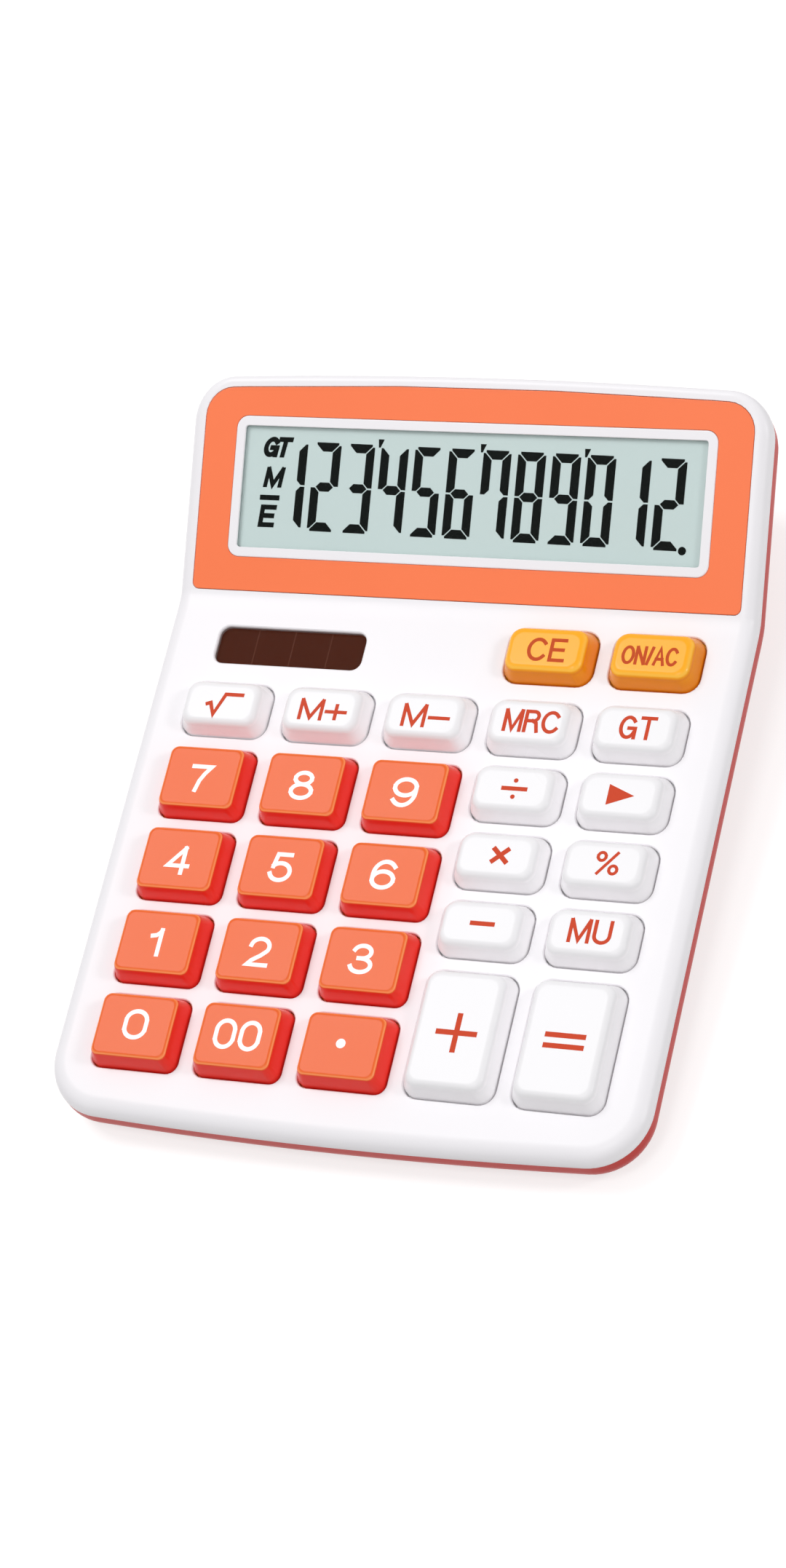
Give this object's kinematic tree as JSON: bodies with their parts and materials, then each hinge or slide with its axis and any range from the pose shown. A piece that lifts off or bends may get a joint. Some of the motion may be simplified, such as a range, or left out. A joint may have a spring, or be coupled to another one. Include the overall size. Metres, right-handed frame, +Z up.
{
  "type": "desk calculator",
  "caption": "Wedge-shaped desk calculator: sprung keys on a shallow deck, a steeper display deck with liquid crystal window, solar strip, dry cell under a sliding door.",
  "frame": {"origin": "on the table, under the middle of the housing's outline", "axes": "+X to the right of the user, +Y from the front edge to the display's rear edge, +Z up"},
  "size_m": [0.12, 0.1488, 0.0395],
  "materials": {
    "housing_white": "fine satin, moulded",
    "shell_red": "satin, moulded",
    "panel_orange": "smooth satin",
    "key_orange": "smooth satin, white print",
    "key_white": "smooth, orange-brown print",
    "key_yellow": "smooth, red-brown print",
    "lens_clear": "clear acrylic",
    "lcd_glass": "polished",
    "reflector": "matt film",
    "ribbon": "polyimide film",
    "inner_plastic": "matt",
    "solar_tint": "polished, tinted",
    "solar_film": "dark brown film on glass",
    "wire": "insulation",
    "silicone": "moulded silicone",
    "carbon": "conductive rubber",
    "board": "phenolic laminate",
    "resin": "cast resin",
    "component": "lacquered",
    "can": "sleeved",
    "cell_jacket": "plain sleeve",
    "plated_steel": "nickel plated",
    "screw_steel": "zinc plated",
    "foot_rubber": "matt"
  },
  "bodies": {
    "casing": {"upper_housing": "housing_white", "display_housing": "housing_white", "lower_housing": "shell_red", "display_panel": "panel_orange", "window_frame": "housing_white", "display_lens": "lens_clear", "lcd_front_glass": "lcd_glass", "lcd_rear_glass": "lcd_glass", "lcd_reflector": "reflector", "lcd_holder": "inner_plastic", "lcd_ribbon": "ribbon", "solar_window": "solar_tint", "solar_cell": "solar_film", "solar_leads": "wire", "rubber_keymat": "silicone", "carbon_pills": "carbon", "circuit_board": "board", "chip_cover": "resin", "board_capacitor": "can", "board_resistors": "component", "battery_cell": "cell_jacket", "battery_spring": "plated_steel", "battery_contacts": "plated_steel", "battery_leads": "wire", "housing_screws": "screw_steel", "board_screws": "screw_steel", "lcd_screws": "screw_steel", "rubber_feet": "foot_rubber"},
    "battery_door": {"battery_door": "shell_red"},
    "key_0": {"key_0": "key_orange"},
    "key_00": {"key_00": "key_orange"},
    "key_point": {"key_point": "key_orange"},
    "key_1": {"key_1": "key_orange"},
    "key_2": {"key_2": "key_orange"},
    "key_3": {"key_3": "key_orange"},
    "key_4": {"key_4": "key_orange"},
    "key_5": {"key_5": "key_orange"},
    "key_6": {"key_6": "key_orange"},
    "key_7": {"key_7": "key_orange"},
    "key_8": {"key_8": "key_orange"},
    "key_9": {"key_9": "key_orange"},
    "key_plus": {"key_plus": "key_white"},
    "key_equals": {"key_equals": "key_white"},
    "key_minus": {"key_minus": "key_white"},
    "key_markup": {"key_markup": "key_white"},
    "key_times": {"key_times": "key_white"},
    "key_percent": {"key_percent": "key_white"},
    "key_divide": {"key_divide": "key_white"},
    "key_back": {"key_back": "key_white"},
    "key_root": {"key_root": "key_white"},
    "key_memory_plus": {"key_memory_plus": "key_white"},
    "key_memory_minus": {"key_memory_minus": "key_white"},
    "key_memory_recall": {"key_memory_recall": "key_white"},
    "key_grand_total": {"key_grand_total": "key_white"},
    "key_clear_entry": {"key_clear_entry": "key_yellow"},
    "key_power": {"key_power": "key_yellow"}
  },
  "joints": [
    {"name": "key_0_press", "type": "slide", "parent": "casing", "child": "key_0", "axis": [0, 0.0872, -0.9962], "range_m": [0, 0.0015], "stiffness_N_per_m": 450, "springref_m": -0.0005, "deforming": ["rubber_keymat", "carbon_pills"]},
    {"name": "key_00_press", "type": "slide", "parent": "casing", "child": "key_00", "axis": [0, 0.0872, -0.9962], "range_m": [0, 0.0015], "stiffness_N_per_m": 450, "springref_m": -0.0005, "deforming": ["rubber_keymat", "carbon_pills"]},
    {"name": "key_point_press", "type": "slide", "parent": "casing", "child": "key_point", "axis": [0, 0.0872, -0.9962], "range_m": [0, 0.0015], "stiffness_N_per_m": 450, "springref_m": -0.0005, "deforming": ["rubber_keymat", "carbon_pills"]},
    {"name": "key_1_press", "type": "slide", "parent": "casing", "child": "key_1", "axis": [0, 0.0872, -0.9962], "range_m": [0, 0.0015], "stiffness_N_per_m": 450, "springref_m": -0.0005, "deforming": ["rubber_keymat", "carbon_pills"]},
    {"name": "key_2_press", "type": "slide", "parent": "casing", "child": "key_2", "axis": [0, 0.0872, -0.9962], "range_m": [0, 0.0015], "stiffness_N_per_m": 450, "springref_m": -0.0005, "deforming": ["rubber_keymat", "carbon_pills"]},
    {"name": "key_3_press", "type": "slide", "parent": "casing", "child": "key_3", "axis": [0, 0.0872, -0.9962], "range_m": [0, 0.0015], "stiffness_N_per_m": 450, "springref_m": -0.0005, "deforming": ["rubber_keymat", "carbon_pills"]},
    {"name": "key_4_press", "type": "slide", "parent": "casing", "child": "key_4", "axis": [0, 0.0872, -0.9962], "range_m": [0, 0.0015], "stiffness_N_per_m": 450, "springref_m": -0.0005, "deforming": ["rubber_keymat", "carbon_pills"]},
    {"name": "key_5_press", "type": "slide", "parent": "casing", "child": "key_5", "axis": [0, 0.0872, -0.9962], "range_m": [0, 0.0015], "stiffness_N_per_m": 450, "springref_m": -0.0005, "deforming": ["rubber_keymat", "carbon_pills"]},
    {"name": "key_6_press", "type": "slide", "parent": "casing", "child": "key_6", "axis": [0, 0.0872, -0.9962], "range_m": [0, 0.0015], "stiffness_N_per_m": 450, "springref_m": -0.0005, "deforming": ["rubber_keymat", "carbon_pills"]},
    {"name": "key_7_press", "type": "slide", "parent": "casing", "child": "key_7", "axis": [0, 0.0872, -0.9962], "range_m": [0, 0.0015], "stiffness_N_per_m": 450, "springref_m": -0.0005, "deforming": ["rubber_keymat", "carbon_pills"]},
    {"name": "key_8_press", "type": "slide", "parent": "casing", "child": "key_8", "axis": [0, 0.0872, -0.9962], "range_m": [0, 0.0015], "stiffness_N_per_m": 450, "springref_m": -0.0005, "deforming": ["rubber_keymat", "carbon_pills"]},
    {"name": "key_9_press", "type": "slide", "parent": "casing", "child": "key_9", "axis": [0, 0.0872, -0.9962], "range_m": [0, 0.0015], "stiffness_N_per_m": 450, "springref_m": -0.0005, "deforming": ["rubber_keymat", "carbon_pills"]},
    {"name": "key_plus_press", "type": "slide", "parent": "casing", "child": "key_plus", "axis": [0, 0.0872, -0.9962], "range_m": [0, 0.0015], "stiffness_N_per_m": 450, "springref_m": -0.0005, "deforming": ["rubber_keymat", "carbon_pills"]},
    {"name": "key_equals_press", "type": "slide", "parent": "casing", "child": "key_equals", "axis": [0, 0.0872, -0.9962], "range_m": [0, 0.0015], "stiffness_N_per_m": 450, "springref_m": -0.0005, "deforming": ["rubber_keymat", "carbon_pills"]},
    {"name": "key_minus_press", "type": "slide", "parent": "casing", "child": "key_minus", "axis": [0, 0.0872, -0.9962], "range_m": [0, 0.0015], "stiffness_N_per_m": 450, "springref_m": -0.0005, "deforming": ["rubber_keymat", "carbon_pills"]},
    {"name": "key_markup_press", "type": "slide", "parent": "casing", "child": "key_markup", "axis": [0, 0.0872, -0.9962], "range_m": [0, 0.0015], "stiffness_N_per_m": 450, "springref_m": -0.0005, "deforming": ["rubber_keymat", "carbon_pills"]},
    {"name": "key_times_press", "type": "slide", "parent": "casing", "child": "key_times", "axis": [0, 0.0872, -0.9962], "range_m": [0, 0.0015], "stiffness_N_per_m": 450, "springref_m": -0.0005, "deforming": ["rubber_keymat", "carbon_pills"]},
    {"name": "key_percent_press", "type": "slide", "parent": "casing", "child": "key_percent", "axis": [0, 0.0872, -0.9962], "range_m": [0, 0.0015], "stiffness_N_per_m": 450, "springref_m": -0.0005, "deforming": ["rubber_keymat", "carbon_pills"]},
    {"name": "key_divide_press", "type": "slide", "parent": "casing", "child": "key_divide", "axis": [0, 0.0872, -0.9962], "range_m": [0, 0.0015], "stiffness_N_per_m": 450, "springref_m": -0.0005, "deforming": ["rubber_keymat", "carbon_pills"]},
    {"name": "key_back_press", "type": "slide", "parent": "casing", "child": "key_back", "axis": [0, 0.0872, -0.9962], "range_m": [0, 0.0015], "stiffness_N_per_m": 450, "springref_m": -0.0005, "deforming": ["rubber_keymat", "carbon_pills"]},
    {"name": "key_root_press", "type": "slide", "parent": "casing", "child": "key_root", "axis": [0, 0.0872, -0.9962], "range_m": [0, 0.0015], "stiffness_N_per_m": 450, "springref_m": -0.0005, "deforming": ["rubber_keymat", "carbon_pills"]},
    {"name": "key_memory_plus_press", "type": "slide", "parent": "casing", "child": "key_memory_plus", "axis": [0, 0.0872, -0.9962], "range_m": [0, 0.0015], "stiffness_N_per_m": 450, "springref_m": -0.0005, "deforming": ["rubber_keymat", "carbon_pills"]},
    {"name": "key_memory_minus_press", "type": "slide", "parent": "casing", "child": "key_memory_minus", "axis": [0, 0.0872, -0.9962], "range_m": [0, 0.0015], "stiffness_N_per_m": 450, "springref_m": -0.0005, "deforming": ["rubber_keymat", "carbon_pills"]},
    {"name": "key_memory_recall_press", "type": "slide", "parent": "casing", "child": "key_memory_recall", "axis": [0, 0.0872, -0.9962], "range_m": [0, 0.0015], "stiffness_N_per_m": 450, "springref_m": -0.0005, "deforming": ["rubber_keymat", "carbon_pills"]},
    {"name": "key_grand_total_press", "type": "slide", "parent": "casing", "child": "key_grand_total", "axis": [0, 0.0872, -0.9962], "range_m": [0, 0.0015], "stiffness_N_per_m": 450, "springref_m": -0.0005, "deforming": ["rubber_keymat", "carbon_pills"]},
    {"name": "key_clear_entry_press", "type": "slide", "parent": "casing", "child": "key_clear_entry", "axis": [0, 0.0872, -0.9962], "range_m": [0, 0.0015], "stiffness_N_per_m": 450, "springref_m": -0.0005, "deforming": ["rubber_keymat", "carbon_pills"]},
    {"name": "key_power_press", "type": "slide", "parent": "casing", "child": "key_power", "axis": [0, 0.0872, -0.9962], "range_m": [0, 0.0015], "stiffness_N_per_m": 450, "springref_m": -0.0005, "deforming": ["rubber_keymat", "carbon_pills"]},
    {"name": "battery_door_slide", "type": "slide", "parent": "casing", "child": "battery_door", "axis": [0, 1, 0], "range_m": [0, 0.022]}
  ]
}
